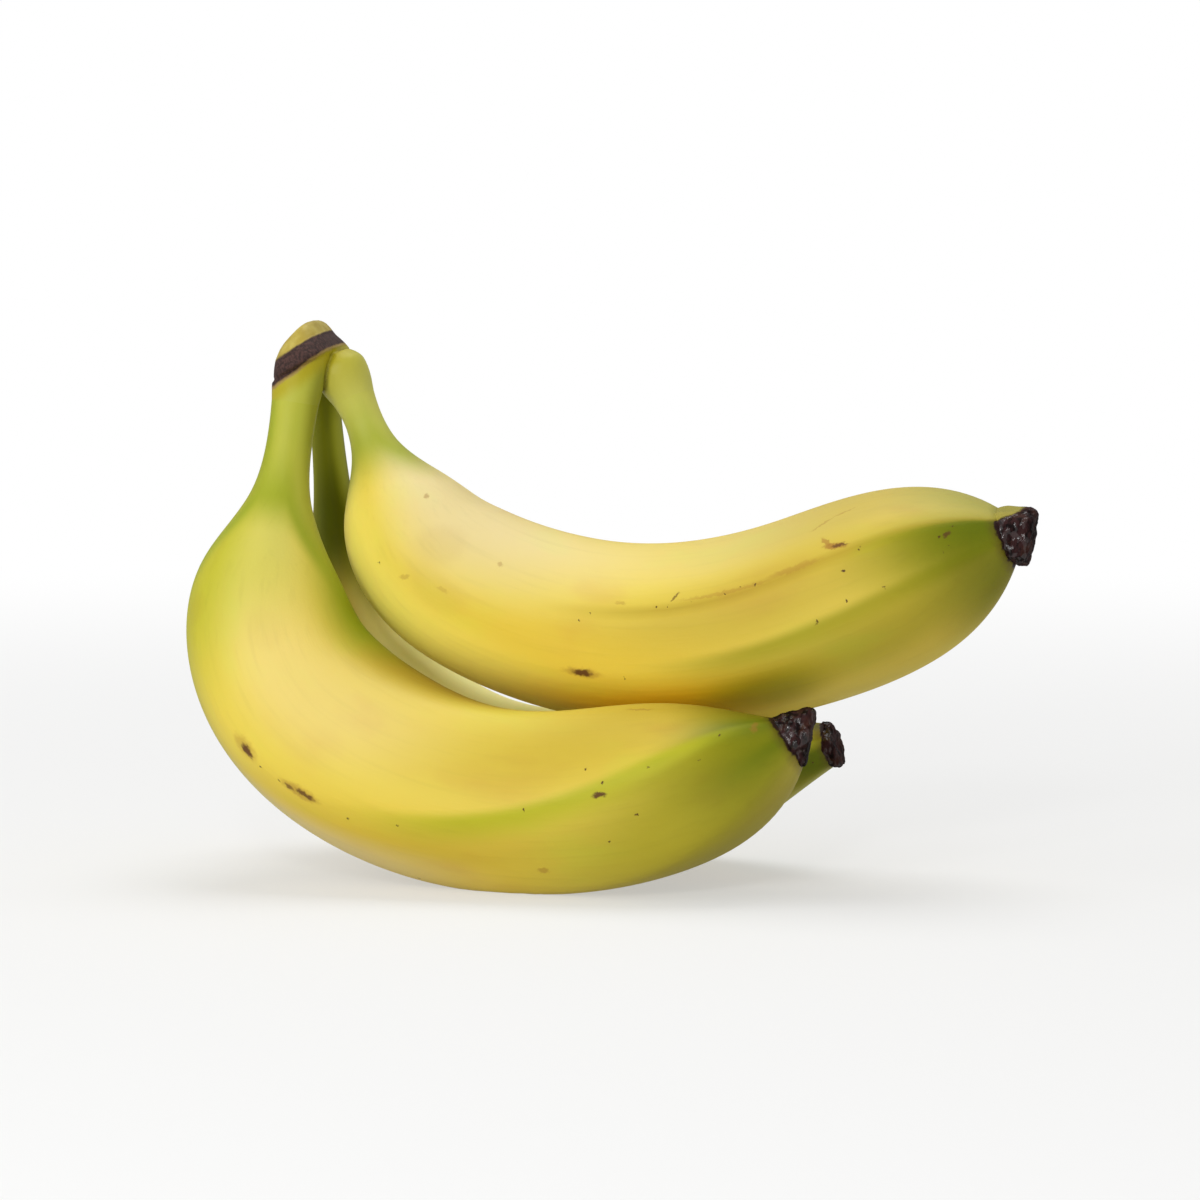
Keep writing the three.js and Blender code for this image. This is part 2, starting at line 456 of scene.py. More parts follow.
def rugged(points, side, seed):
    """Pushes a lathed stub about with two waves round its edge, slants it and puts it on the straight
    finger's end. Returns the new points, how far along each is, and how far inside the lip."""
    finger = FINGERS[side]
    length, slant, droop = (finger["blossom"][key] for key in ("length", "slant", "droop"))
    share = points[:, 0] / (length * MM)
    radius = np.hypot(points[:, 1], points[:, 2])
    angle = np.arctan2(-points[:, 1], points[:, 2])
    waves = np.sin(5 * angle + seed) + 0.6 * np.sin(8 * angle - 2 * seed + 5 * share)
    radius = radius * (1 + RUGGEDNESS * waves * np.minimum(1, 3 * share))
    outwards = radius * np.sin(angle)
    out = points[:, 0] - slant * outwards * share
    moved = np.column_stack([
        lengths[side] - BLOSSOM_SINKS + out * (1 + BLOSSOM_SINKS / (length * MM)),
        -(outwards + droop * np.maximum(0, out)),
        radius * np.cos(angle),
    ])
    reaches, lip_side = PEEL_LIP.get(side, NO_LIP)
    lip = reaches * smoothstep(np.cos(angle - math.radians(lip_side)), 0.45, 1)
    lip = lip * smoothstep(radius / (finger["girth"][-1][1] * MM), 0.5, 0.85)
    return moved, share, lip - share


def wrinkle(stub, size, height, fineness):
    """Pushes the stub's dried skin in and out by a cloudy texture."""
    texture = bpy.data.textures.new("wrinkles", "CLOUDS")
    texture.noise_scale = size
    texture.noise_depth = fineness
    push = stub.modifiers.new("wrinkles", "DISPLACE")
    push.texture = texture
    push.texture_coords = "LOCAL"
    push.strength = height
    push.mid_level = 0.5
    push.vertex_group = "dried_skin"
    select_only(stub)
    bpy.ops.object.modifier_apply(modifier=push.name)


def make_blossom_end(side, seed):
    finger = FINGERS[side]
    length, end_radius = finger["blossom"]["length"], finger["girth"][-1][1]
    points = [(share * length, radius * end_radius) for share, radius in BLOSSOM_OUTLINE]
    outline = [(0, 0)] + drawn_outline(points, BLOSSOM_STEPS)
    stub = lathed(f"blossom_{side}", outline, BLOSSOM_SIDES)
    moved, share, lip = rugged(coordinates(stub), side, seed)
    set_coordinates(stub, moved)
    keep(stub, "form", np.column_stack([share, lip, np.zeros(len(share))]))
    dried_skin = stub.vertex_groups.new(name="dried_skin")
    for i, amount in enumerate(1 - smoothstep(lip, -0.1, 0.1)):
        dried_skin.add([i], amount, "REPLACE")
    bend(stub, spines[side])
    for settings in WRINKLES:
        wrinkle(stub, *settings)
    bpy.ops.object.shade_smooth()
    return stub


blossom_ends = {side: make_blossom_end(side, 1 + 2 * i) for i, side in enumerate(FINGERS)}
print("blossom ends:", {side: len(b.data.vertices) for side, b in blossom_ends.items()})

# %% [markdown]
# ## The crown
# The crown is the pad of flesh that all the fingers grow from. Where it was cut from the stalk it
# dried to a rough brown band, and over that stands a yellow pad. It's a rounded block, extruded ring
# by ring from a circle. The two lower necks end at its underside, so they're cut there. The third
# ends in a knob that swells over the side of the front one. The tops of all three are copied, joined
# to the block and remeshed with it into one unbroken skin.

# %% The crown's place
CROWN_BASE = place(-63, 2.2, 100.7)
CROWN_TILT = math.radians(28)
CROWN_UP = Vector((-math.sin(CROWN_TILT), 0, math.cos(CROWN_TILT)))
CUT_CLEARANCE = 0.1 * MM


def cut_above_crown_base(body):
    """Removes what a neck has above the crown's underside, and closes the cut."""
    select_only(body)
    bpy.ops.object.mode_set(mode="EDIT")
    bpy.ops.mesh.select_all(action="SELECT")
    plane = CROWN_BASE + CUT_CLEARANCE * CROWN_UP
    bpy.ops.mesh.bisect(plane_co=plane, plane_no=CROWN_UP, use_fill=True, clear_outer=True)
    bpy.ops.object.mode_set(mode="OBJECT")


for side in ("front", "rear"):
    cut_above_crown_base(fingers[side])
    print(side, "neck top at", round(coordinates(fingers[side])[:, 2].max() / MM, 1), "mm")

# %% The knob
NECK_TOP_LENGTH = 17
KNOB_SHIFT = place(0.8, -3.2, -1.1)
KNOB_SWELL = 0.6 * MM
KNOB_UNDER_CROWN = 0.3 * MM
# The knob's flat top is rounded: how far down in mm, its radius, and how much for each of those mm.
KNOB_ROUND = 3
KNOB_RADIUS = 5 * MM
KNOB_ROUNDING = 0.6


def pull_knob_forward(body):
    """Draws the third neck's top over the side of the front one, swollen and rounded."""
    along = kept(body, "form")[:, 0]
    share = 1 - smoothstep(along, 0.15 * NECK_TOP_LENGTH, NECK_TOP_LENGTH)
    normals = np.array([v.normal for v in body.data.vertices])
    start, towards = (place(*FINGERS["upper"]["spine"][i]) for i in (0, 1))
    down = np.array((towards - start).normalized())
    points = coordinates(body)
    from_start = points - np.array(start)
    off_axis = np.linalg.norm(from_start - np.outer(from_start @ down, down), axis=1)
    near_rim = np.minimum(1, off_axis / KNOB_RADIUS) ** 2
    rounding = KNOB_ROUNDING * np.maximum(0, KNOB_ROUND - along) * MM * near_rim
    points += share[:, None] * (np.array(KNOB_SHIFT) + KNOB_SWELL * normals)
    points += rounding[:, None] * down
    up = np.array(CROWN_UP)
    above = np.maximum(0, (points - np.array(CROWN_BASE)) @ up + KNOB_UNDER_CROWN)
    set_coordinates(body, points - above[:, None] * up)


pull_knob_forward(fingers["upper"])
print("knob top at", round(coordinates(fingers["upper"])[:, 2].max() / MM, 1), "mm")

# %% The crown's block
CROWN_SIDES = 72
CROWN_LEAN = 0.14
CROWN_DEPTH = 1.85
CROWN_SQUARENESS = 3
# (radius, height) in mm
CROWN_RINGS = [
    (6.3, 0), (6.65, 0.35), (6.7, 0.9), (6.45, 1.7), (6.15, 2.5), (5.8, 3.3), (5.5, 3.9), (5.3, 4.3),
    (5.15, 4.7), (4.9, 5.4), (4.55, 6.1), (4.0, 6.7), (3.1, 7.0), (1.6, 7.1),
]
# The pad slopes: how much it rises for each mm across and each mm above the band's top, in mm.
PAD_SLOPE = 0.12
BAND_TOP = 4.1


def crown_head():
    """A squarish block, deeper than it is wide, that leans a little on its tilted base."""
    first_radius = CROWN_RINGS[0][0] * MM
    bpy.ops.object.select_all(action="DESELECT")
    bpy.ops.mesh.primitive_circle_add(vertices=CROWN_SIDES, radius=first_radius, fill_type="NGON")
    head = bpy.context.object
    head.name = "crown_head"
    bpy.ops.object.mode_set(mode="EDIT")
    bpy.ops.mesh.select_all(action="SELECT")
    for (below, low), (radius, high) in zip(CROWN_RINGS, CROWN_RINGS[1:]):
        step = (0, 0, (high - low) * MM)
        bpy.ops.mesh.extrude_region_move(TRANSFORM_OT_translate={"value": step})
        bpy.ops.transform.resize(value=(radius / below, radius / below, 1))
    bpy.ops.mesh.select_all(action="SELECT")
    bpy.ops.mesh.normals_make_consistent(inside=False)
    bpy.ops.object.mode_set(mode="OBJECT")
    points = coordinates(head)
    radius, height = np.hypot(points[:, 0], points[:, 1]), points[:, 2]
    cos, sin = points[:, 0] / radius, points[:, 1] / radius
    power = 2 / CROWN_SQUARENESS
    across = radius * np.sign(cos) * np.abs(cos) ** power
    deep = radius * np.sign(sin) * np.abs(sin) ** power
    rise = PAD_SLOPE / MM * across * np.maximum(0, height - BAND_TOP * MM)
    leaning = across + CROWN_LEAN * height
    set_coordinates(head, np.column_stack([leaning, deep * CROWN_DEPTH, height + rise]))
    head.rotation_euler = (0, -CROWN_TILT, 0)
    head.location = CROWN_BASE
    bpy.ops.object.transform_apply(location=True, rotation=True)
    return head


# %% Crown
TOP_PROUD = 0.2
TOP_SUNK = 0.35
CROWN_VOXEL = 0.3 * MM


def neck_top(side):
    """The top of a neck, a little proud of it at the crown and sunk into it at its lower end."""
    top = fingers[side].copy()
    top.data = fingers[side].data.copy()
    bpy.context.collection.objects.link(top)
    along = kept(top, "form")[:, 0]
    points = coordinates(top)
    normals = np.array([v.normal for v in top.data.vertices])
    sinking = smoothstep(along, 0.35 * NECK_TOP_LENGTH, NECK_TOP_LENGTH)
    proud = TOP_PROUD - (TOP_PROUD + TOP_SUNK) * sinking
    set_coordinates(top, points + normals * proud[:, None] * MM)
    select_only(top)
    bpy.ops.object.mode_set(mode="EDIT")
    bpy.ops.mesh.select_all(action="DESELECT")
    bpy.ops.object.mode_set(mode="OBJECT")
    for vertex, distance in zip(top.data.vertices, along):
        vertex.select = bool(distance > NECK_TOP_LENGTH)
    bpy.ops.object.mode_set(mode="EDIT")
    bpy.ops.mesh.delete(type="VERT")
    bpy.ops.mesh.select_all(action="SELECT")
    bpy.ops.mesh.fill_holes(sides=0)
    bpy.ops.object.mode_set(mode="OBJECT")
    return top


def make_crown():
    """Joins the block and the necks' tops, remeshes them into one skin and relaxes it."""
    head = crown_head()
    tops = [neck_top(side) for side in FINGERS]
    bpy.ops.object.select_all(action="DESELECT")
    for part in (*tops, head):
        part.select_set(True)
    bpy.context.view_layer.objects.active = head
    bpy.ops.object.join()
    head.data.remesh_voxel_size = CROWN_VOXEL
    bpy.ops.object.voxel_remesh()
    relax = head.modifiers.new("relax", "SMOOTH")
    relax.factor = 0.5
    relax.iterations = 4
    bpy.ops.object.modifier_apply(modifier="relax")
    bpy.ops.object.shade_smooth()
    return head


crown = make_crown()
print("crown:", len(crown.data.polygons), "faces,", [round(v / MM, 1) for v in crown.dimensions])

# %% [markdown]
# ## Mixing colours with nodes
# A few more helpers keep the finishes short: one blends two colours, one fades a value in, one makes
# a noise, and one turns a colour given from 0 to 255 into Blender's linear scale.


# %% Node helpers
def tint(red, green, blue):
    """A colour given from 0 to 255, on the linear scale."""
    return (*(pow(v / 255, 2.2) for v in (red, green, blue)), 1)


def maths(tree, operation, *values):
    return node(tree, "ShaderNodeMath", dict(enumerate(values)), operation=operation).outputs[0]


def fade(tree, value, low, high):
    """0 where the value is at low, 1 where it's at high, smooth between."""
    inputs = {"Value": value, "From Min": low, "From Max": high}
    return node(tree, "ShaderNodeMapRange", inputs, interpolation_type="SMOOTHSTEP").outputs[0]


def blend(tree, amount, under, over):
    """Mixes two colours. A colour mix has its factor at 0 and its colours at 6 and 7."""
    inputs = {0: amount, 6: under, 7: over}
    return node(tree, "ShaderNodeMix", inputs, data_type="RGBA").outputs[2]


def multiplied(tree, first, second):
    return maths(tree, "MULTIPLY", first, second)


def less(tree, value, taken):
    return maths(tree, "SUBTRACT", value, taken)


def scaled(tree, vector, scale):
    inputs = {"Vector": vector, "Scale": scale}
    return node(tree, "ShaderNodeMapping", inputs).outputs[0]


def noise(tree, vector, scale=1.0, detail=2.0, roughness=0.5):
    inputs = {"Vector": vector, "Scale": scale, "Detail": detail, "Roughness": roughness}
    return node(tree, "ShaderNodeTexNoise", inputs).outputs["Fac"]


def attribute(tree, name, output="Vector"):
    return node(tree, "ShaderNodeAttribute", attribute_name=name).outputs[output]


def split(tree, vector):
    return node(tree, "ShaderNodeSeparateXYZ", {0: vector}).outputs


def bump(tree, height, distance, strength, under=None):
    inputs = {"Height": height, "Distance": distance, "Strength": strength}
    if under is not None:
        inputs["Normal"] = under
    return node(tree, "ShaderNodeBump", inputs).outputs[0]


def new_finish(name, roughness, specular):
    material = bpy.data.materials.new(name)
    material.use_nodes = True
    shader = material.node_tree.nodes["Principled BSDF"]
    shader.inputs["Roughness"].default_value = roughness
    shader.inputs["Specular IOR Level"].default_value = specular
    return material, material.node_tree, shader


def object_coordinates(tree):
    return node(tree, "ShaderNodeTexCoord").outputs["Object"]


# %% [markdown]
# ## Where the peel's colours lie
# A banana ripens from its middle outwards. The neck and the blossom end stay green longest, and so do
# the ridges near the end. The side that faced the sun is golden, and the side inside the bend is
# cream, partly as painted sheen on top. A few washes are painted light and shade: shade where a finger
# lies against another, light on flanks and strips that the others shade, and light reflected from
# below. These zones are broad and soft, so they're laid on the mesh as with an airbrush: each wash is
# an oval of one colour, given by its place along the finger and round it, its reach both ways, and
# its strength. Angles are counted between the ridges, so a wash follows them where they turn.

# %% Peel colours
# Some of these stand for light or shade where they're laid below: the cream partly for painted sheen
# and reflected light, the pale lime and the butter for painted light, and the two darkest neck colours
# for painted shade.
CREAM_AND_SHEEN = tint(228, 208, 146)
PALE = tint(230, 205, 118)
PALE_LIME_PAINTED_LIGHT = tint(255, 252, 168)
KHAKI = tint(198, 191, 86)
YELLOW = tint(224, 200, 82)
BUTTER_PAINTED_LIGHT = tint(255, 238, 112)
GOLDEN = tint(222, 190, 62)
AMBER = tint(232, 184, 28)
TAN = tint(192, 166, 56)
STRAW = tint(198, 176, 84)
OCHRE = tint(164, 136, 38)
LIME = tint(178, 176, 40)
OLIVE = tint(152, 144, 24)
LEAF = tint(142, 154, 28)
TIP_GREEN = tint(104, 114, 10)
TIP_OLIVE = tint(132, 128, 24)
TIP_PALE = tint(172, 165, 78)
NECK_LIGHT = tint(206, 204, 98)
NECK_GREEN = tint(180, 181, 66)
NECK_PAINTED_SHADE = tint(126, 128, 18)
NECK_PAINTED_DEEP_SHADE = tint(84, 90, 6)
NECK_TOP = tint(172, 162, 40)

# (colour, along in mm, round in degrees, half length in mm, half width in degrees, strength)
WASHES = {
    "front": [
        (PALE, 74, -8, 52, 48, 0.8),
        (GOLDEN, 98, 84, 48, 62, 0.9),
        (TAN, 152, 8, 66, 58, 0.9),
        # A duller ochre, with painted shade where the upper finger lies over this side.
        (OCHRE, 98, -70, 50, 50, 0.85),
        (KHAKI, 40, 4, 26, 74, 0.85),
        (LEAF, 54, -92, 46, 62, 1),
        (TAN, 118, 70, 32, 28, 0.45),
        # Pale, pinkish painted light reflected from below onto the underside.
        (CREAM_AND_SHEEN, 86, 100, 40, 40, 0.8),
        (LEAF, 48, 100, 42, 60, 0.8),
        (LIME, 46, 48, 26, 50, 0.8),
        (OLIVE, 160, 96, 46, 66, 0.75),
        (TIP_OLIVE, 177, -6, 24, 70, 0.8),
        (TIP_OLIVE, 164, 164, 34, 70, 0.65),
        (TIP_GREEN, 178, 66, 30, 86, 1),
    ],
    "rear": [
        # Painted light on the strip that shows between the two near fingers, which lie over it and
        # shade it.
        (PALE_LIME_PAINTED_LIGHT, 86, -60, 68, 62, 1),
        (LEAF, 44, -40, 18, 90, 0.25),
        (GOLDEN, 110, 60, 60, 70, 0.8),
        (TIP_GREEN, 178, -60, 24, 90, 1),
        (TIP_GREEN, 178, 60, 24, 90, 1),
        (LEAF, 168, 150, 26, 70, 0.9),
    ],
    "upper": [
        # The cream washes on the top side are partly the peel's paler inner side and partly painted
        # sheen from the light above.
        (CREAM_AND_SHEEN, 42, -60, 66, 78, 1),
        (STRAW, 148, -60, 62, 66, 1),
        (CREAM_AND_SHEEN, 104, -64, 44, 52, 0.3),
        (GOLDEN, 82, 12, 52, 34, 0.8),
        # Painted light on the flank beside the front finger, which shades it.
        (BUTTER_PAINTED_LIGHT, 50, 60, 46, 58, 1),
        (AMBER, 104, 54, 40, 34, 0.9),
        (TAN, 126, -6, 56, 36, 0.75),
        (TAN, 156, 60, 46, 60, 0.7),
        (OLIVE, 140, 46, 44, 34, 0.5),
        (OLIVE, 118, 58, 16, 30, 0.7),
        (OLIVE, 168, 0, 34, 40, 0.8),
        (TIP_PALE, 171, -64, 24, 80, 1),
        (TIP_OLIVE, 170, 80, 22, 70, 1),
    ],
}
# The share of an oval that has its full strength.
WASH_CORE = 0.2
# (colour, round in degrees, start and full strength along in mm, fade above and below in degrees,
# strength)
RIDGE_LINES = {
    "front": [
        (LIME, 47, 88, 118, 7, 22, 0.9), (OLIVE, 58, 132, 168, 8, 34, 0.8),
        (TIP_GREEN, 50, 158, 175, 30, 36, 0.9), (OLIVE, 190, 100, 160, 10, 22, 0.6),
    ],
    "rear": [
        (LIME, 20, 110, 150, 8, 25, 0.8), (OLIVE, 310, 110, 150, 8, 25, 0.8),
        (OLIVE, 165, 90, 160, 20, 9, 0.6), (LIME, 238, 90, 150, 16, 9, 0.7),
    ],
    "upper": [
        (OCHRE, -14, 70, 104, 5, 7, 0.5), (OLIVE, 22, 92, 122, 7, 14, 0.75),
        (OLIVE, -11, 136, 158, 5, 60, 0.8), (TIP_GREEN, -9, 146, 165, 6, 110, 1),
        (OLIVE, 190, 90, 160, 20, 9, 0.6),
    ],
}
# The same, laid over the necks' green.
OVER_NECKS = {
    # Painted shade in the crease between the front neck and the knob.
    "front": [(LEAF, 20, 56, 28, 44, 0.7), (NECK_PAINTED_SHADE, 8, -80, 20, 50, 0.6)],
    # Deeper painted shade low on the rear neck's front, and painted light in a lighter green on one
    # side of it.
    "rear": [(NECK_PAINTED_DEEP_SHADE, 35, -10, 17, 78, 0.9), (NECK_GREEN, 19, -62, 18, 44, 0.7)],
    "upper": [(NECK_TOP, 0, 0, 13, 180, 0.8)],
}
# Where the green of each neck ends, in mm, how much further it runs down the two sides, how soft its
# end is, and its colour.
NECK_ENDS = {
    "front": (33.5, 14, 4.5, NECK_GREEN),
    # The rear neck's colour is painted shade.
    "rear": (44, 8, 8, NECK_PAINTED_SHADE),
    "upper": (24.5, 4, 5, NECK_LIGHT),
}
# A neck's front gives way to its sides between these angles. Its last green is mostly a leaf's.
NECK_SIDES = (22, 72)
NECK_LEAFY = 0.7


def lay(paint, colour, amount):
    """Lays a colour over the paint, by an amount for each vertex."""
    paint += (np.array(colour) - paint) * amount[:, None]


def wash(paint, where, colour, along, around, half_length, half_width, strength):
    away = np.hypot((where[:, 0] - along) / half_length, turned(where[:, 1], around) / half_width)
    lay(paint, colour, strength * (1 - smoothstep(away, WASH_CORE, 1)))


def ridge_line(paint, where, colour, around, start, full, above, below, strength):
    offset = turned(where[:, 1], around)
    near = 1 - smoothstep(np.where(offset < 0, -offset / above, offset / below), 0, 1)
    lay(paint, colour, strength * near * smoothstep(where[:, 0], start, full))


def neck(paint, where, end, runs_down, softness, colour):
    """The neck's green, darker where it meets the body, lower down the sides than in front."""
    along = where[:, 0]
    end = end + runs_down * smoothstep(np.abs(where[:, 1]), *NECK_SIDES)
    green = np.tile(np.array(colour), (len(where), 1))
    lay(green, LEAF, NECK_LEAFY * smoothstep(along, end - 16, end - 2))
    lay(paint, green, 1 - smoothstep(along, end - softness, end + 1.3 * softness))


def paint_finger(side):
    where = kept(fingers[side], "form")
    paint = np.tile(np.array(YELLOW), (len(where), 1))
    for stroke in WASHES[side]:
        wash(paint, where, *stroke)
    for line in RIDGE_LINES[side]:
        ridge_line(paint, where, *line)
    neck(paint, where, *NECK_ENDS[side])
    for stroke in OVER_NECKS[side]:
        wash(paint, where, *stroke)
    keep(fingers[side], "paint", paint, "FLOAT_COLOR")
    return paint


paints = {side: paint_finger(side) for side in FINGERS}
print("mean paint:", {side: [round(float(v), 2) for v in p.mean(0)] for side, p in paints.items()})

# %% [markdown]
# ## Bruises and specks
# Small wounds dry dark. Each one is a short list entry: its place along the finger and round it, its
# half length and half width, its direction and its strength. A bruise is an oval in the finger's own
# straight space, with its edge broken up by a little noise. The specks are small dots, set one by
# one where they're seen most, and scattered by a net of cells on the far side.

# %% The places of the marks
BRUISE = tint(92, 58, 34)
FAINT = tint(160, 112, 48)

# (colour, along in mm, round in degrees, half length and half width in mm, direction in degrees,
# strength)
BRUISES = {
    "front": [
        (FAINT, 74, 46, 2.9, 2.2, 0, 0.4), (BRUISE, 74.5, 46.5, 1.6, 1.1, -15, 0.95),
        (FAINT, 85, 49, 4.6, 1.7, 3, 0.5),
        (BRUISE, 86, 49, 2.3, 0.8, -8, 0.85), (BRUISE, 83, 49, 1, 0.7, 5, 0.7),
        (BRUISE, 142, 52, 1.7, 0.7, 0, 0.95), (FAINT, 129, 93, 1.2, 0.9, 0, 0.5),
        (FAINT, 150, -12.5, 4, 0.5, -2, 0.5), (FAINT, 52.5, 49.5, 3, 4, 0, 0.1),
        (FAINT, 59, -6, 6, 4, 20, 0.05), (FAINT, 173, 50, 1.8, 0.8, 60, 0.5),
    ],
    "rear": [
        (BRUISE, 172.5, 53.5, 0.8, 0.7, 0, 0.8), (FAINT, 92, 170, 5, 1.6, 8, 0.4),
        (BRUISE, 93, 171, 1.8, 0.7, 12, 0.85), (FAINT, 128, 192, 9, 0.5, 0, 0.4),
        (FAINT, 66, 150, 5, 4, 0, 0.12),
    ],
    "upper": [
        (FAINT, 86, 26, 4.4, 1.3, 0, 0.45), (BRUISE, 86, 26, 2.4, 1.0, 2, 0.95),
        (FAINT, 140, -20.5, 3.2, 0.9, -18, 0.8), (BRUISE, 141, -19.5, 1.9, 0.5, -14, 0.8),
        (FAINT, 138.5, -26.5, 2.2, 0.6, -62, 0.65), (FAINT, 131, -16.5, 7, 0.9, 0, 0.35),
        (FAINT, 116, -17, 13, 0.5, 0, 0.3), (BRUISE, 104.5, -21.5, 1.7, 0.35, 52, 0.7),
        (FAINT, 138, -47, 3.4, 0.4, 28, 0.4), (FAINT, 142.5, -53, 3, 0.4, 18, 0.4),
        (FAINT, 48.5, -22.5, 8, 6, 30, 0.1), (FAINT, 54, 4.5, 9, 4.5, 0, 0.1),
        (FAINT, 47.5, 12, 1.4, 0.6, 60, 0.35), (BRUISE, 160.5, -1, 1.1, 0.5, 35, 0.8),
        (FAINT, 36, -42.5, 0.8, 0.7, 0, 0.5), (FAINT, 63.5, -31.5, 0.7, 0.6, 0, 0.4),
        (FAINT, 112, 186, 12, 0.5, 0, 0.4), (BRUISE, 78, 160, 1.6, 0.7, 25, 0.8),
        (FAINT, 77, 159, 3, 1.5, 20, 0.35), (FAINT, 55, 1.5, 1.8, 0.5, 0, 0.25),
        (FAINT, 92.5, -20, 1.6, 0.5, 0, 0.35),
    ],
}
# (along in mm, round in degrees)
SPECKS = {
    "front": [
        (77.5, 49), (81, 49), (94.5, 55), (103.5, 52), (139.5, 32.5), (143, 46),
        (148, 74), (142, 83.5), (127, 46.5), (161.5, 60.5), (152, 49), (166.5, 48.5),
    ],
    "rear": [(174, 62)],
    "upper": [
        (100.5, -16), (108, -16.5), (103, -15.5), (115.5, -16), (119, -18), (122.5, -15.5),
        (144.5, -10), (145, -12), (140.5, -2), (146.5, 17.5), (139, 15), (132.5, 19), (132, 20.5),
        (94, 28), (42.5, 22.5), (162, -8), (159, 0), (160, 8.5), (159, 12), (84.5, -7.5), (86.5, -12),
    ],
}
print("marks:", {side: len(BRUISES[side]) + len(SPECKS[side]) for side in FINGERS})

# %% Bruises
# About how many mm a degree round a finger measures, and where an oval's edge ends and is full.
MM_PER_DEGREE = 0.3
BRUISE_EDGE = (1.05, 0.45)


def on_finger(side, along, around):
    """The point of the straight finger at a place along and round it, and its angle on the axis."""
    finger, length = FINGERS[side], lengths[side] / MM
    angle = math.radians(around + finger["turn"] * (along / length) ** 2)
    where = kept(fingers[side], "form")
    off = turned(where[:, 1], around) * MM_PER_DEGREE
    nearest = np.argmin(np.hypot(where[:, 0] - along, off))
    radius = math.hypot(*kept(fingers[side], "straight")[nearest][1:])
    return Vector((along * MM, -radius * math.sin(angle), radius * math.cos(angle))), angle


def bruised(tree, side, colour, straight):
    for tone, along, around, half_length, half_width, direction, strength in BRUISES[side]:
        where, angle = on_finger(side, along, around)
        facing = Matrix.Rotation(angle, 3, "X") @ Matrix.Rotation(math.radians(direction), 3, "Z")
        size = Vector((half_length, half_width, 2 * max(half_length, half_width))) * MM
        inputs = {
            "Vector": straight, "Location": where, "Rotation": facing.to_euler(), "Scale": size,
        }
        oval = node(tree, "ShaderNodeMapping", inputs, vector_type="TEXTURE").outputs[0]
        reach = node(tree, "ShaderNodeVectorMath", {0: oval}, operation="LENGTH").outputs["Value"]
        amount = multiplied(tree, fade(tree, reach, *BRUISE_EDGE), strength)
        colour = blend(tree, amount, colour, tone)
    return colour


# %% Specks
SPECK = tint(84, 58, 26)
SPECK_RADIUS = 0.34 * MM
SPECK_CORE = 0.4 * SPECK_RADIUS
# On the far side: a cell's size in mm and degrees, the share of cells without a speck, a speck's
# radius and core as shares of a cell, and the angles between which the far side begins.
CELL = (12, 40)
CELLS_EMPTY = 0.6
FAR_SPECK = (0.034, 0.02)
FAR_SIDE = (100, 120)


def speckled(tree, side, colour, straight):
    nearest = None
    for along, around in SPECKS[side]:
        inputs = {0: straight, 1: on_finger(side, along, around)[0]}
        away = node(tree, "ShaderNodeVectorMath", inputs, operation="DISTANCE").outputs["Value"]
        nearest = away if nearest is None else maths(tree, "MINIMUM", nearest, away)
    return blend(tree, fade(tree, nearest, SPECK_RADIUS, SPECK_CORE), colour, SPECK)


def far_specks(tree, colour, form, around):
    """A few specks on the far side, one in each of some cells of a coarse net."""
    unrolled = scaled(tree, form, (1 / CELL[0], 1 / CELL[1], 0))
    inputs = {"Vector": unrolled, "Scale": 1}
    cells = node(tree, "ShaderNodeTexVoronoi", inputs, voronoi_dimensions="2D").outputs
    chosen = maths(tree, "GREATER_THAN", split(tree, cells["Color"])[0], CELLS_EMPTY)
    dot = fade(tree, cells["Distance"], *FAR_SPECK)
    behind = fade(tree, maths(tree, "ABSOLUTE", around), *FAR_SIDE)
    return blend(tree, multiplied(tree, multiplied(tree, dot, chosen), behind), colour, SPECK)


# %% [markdown]
# ## The peel's finish
# The peel is waxy, not glossy. Over the painted zones come faint fibres that run along the finger,
# clouds of a slightly warmer and a slightly greener yellow, the black that creeps from the dried
# blossom over the last millimetres of the peel, and the marks. All of it reads the finger's own
# straight shape, stored before the bend, so nothing shears on the curve.

# %% The peel's layers
BLACKENED = tint(52, 35, 33)
HALO = tint(96, 76, 36)
# Distances from the blossom end in mm: where the halo begins, where it's full, and where the black
# begins and is full. The edge wanders by up to half of RAGGED.
HALO_EDGE = (2.4, 0.5)
BLACK_EDGE = (0.8, 0.4)
RAGGED = 1.6
# The angles between which the peel runs on into the lip, how soft they are, and how much further off
# the black is there, in mm.
LIP_CLEAR = {"upper": (-150, -10)}
LIP_SOFT = 20
LIP_LENGTH = 4
# The noise moves the edges of marks by up to half of this, each way.
JITTER = (1.4 * MM, 1.4 * MM, 1.4 * MM)


def shaded(tree, colour, hue=0.5, value=1.0):
    """The colour with its hue turned and its brightness changed."""
    inputs = {"Color": colour, "Hue": hue, "Value": value}
    return node(tree, "ShaderNodeHueSaturation", inputs).outputs[0]


def clouded(tree, colour, drift, fibres):
    """Drifts of a warmer and a greener yellow, and darker fibres."""
    warmer = shaded(tree, colour, hue=0.49, value=0.95)
    greener = shaded(tree, colour, hue=0.512, value=0.97)
    darker = shaded(tree, colour, value=0.86)
    colour = blend(tree, fade(tree, drift, 0.52, 0.78), colour, warmer)
    colour = blend(tree, fade(tree, drift, 0.46, 0.22), colour, greener)
    return blend(tree, multiplied(tree, fade(tree, fibres, 0.5, 0.8), 0.3), colour, darker)


